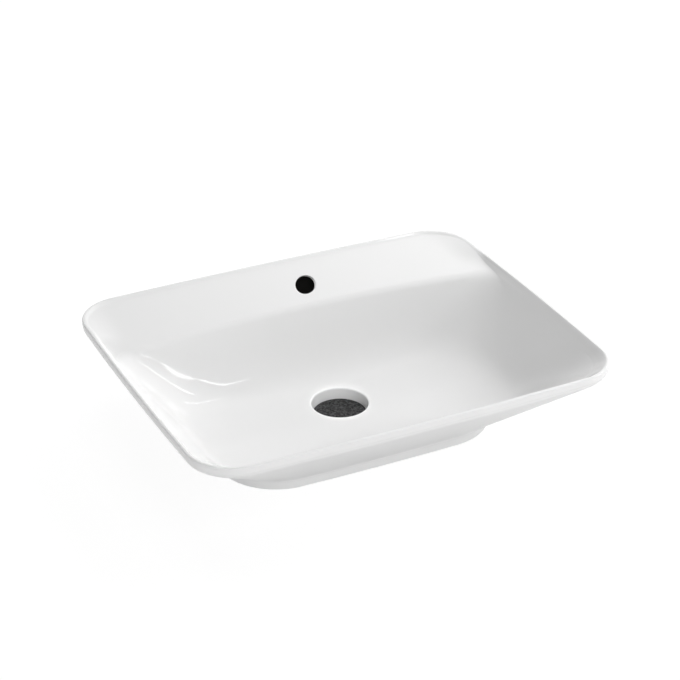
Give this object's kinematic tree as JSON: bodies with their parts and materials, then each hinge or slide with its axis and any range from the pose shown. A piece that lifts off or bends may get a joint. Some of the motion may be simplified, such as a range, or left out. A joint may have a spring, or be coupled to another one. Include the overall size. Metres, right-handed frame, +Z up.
{
  "type": "countertop basin",
  "caption": "Rectangular countertop wash basin with rounded corners, rear deck with overflow hole, flared underside on a small foot, and a click waste with a rising plug.",
  "frame": {"origin": "on the waste's axis, in the plane of the counter that the foot stands on", "axes": "+Z up, +X to the right and +Y to the back, seen by someone standing in front of the basin"},
  "size_m": [0.5, 0.408, 0.17],
  "materials": {
    "glaze": "white vitreous glaze, fired gloss",
    "waste_metal": "brass with a dark gunmetal plating",
    "plug_metal": "brass with a dark gunmetal plating, polished cap",
    "rubber": "black moulded rubber",
    "clear_washer": "natural white nylon",
    "raw_brass": "turned bare brass",
    "latch_plastic": "white acetal",
    "spring_steel": "stainless spring wire"
  },
  "bodies": {
    "basin": {"basin_body": "glaze", "waste_body": "waste_metal", "flange_gasket": "rubber", "base_gasket": "rubber", "slip_washer": "clear_washer", "back_nut": "raw_brass", "latch_sleeve": "raw_brass", "guide_pin": "spring_steel", "latch_spring": "spring_steel"},
    "plug": {"plug_cap": "plug_metal", "plug_seal": "rubber", "plug_stud": "raw_brass", "stud_locknut": "raw_brass", "latch_plunger": "latch_plastic"}
  },
  "joints": [
    {"name": "plug_slide", "type": "slide", "parent": "basin", "child": "plug", "axis": [0, 0, 1], "range_m": [0, 0.009], "deforming": ["latch_spring"]}
  ]
}
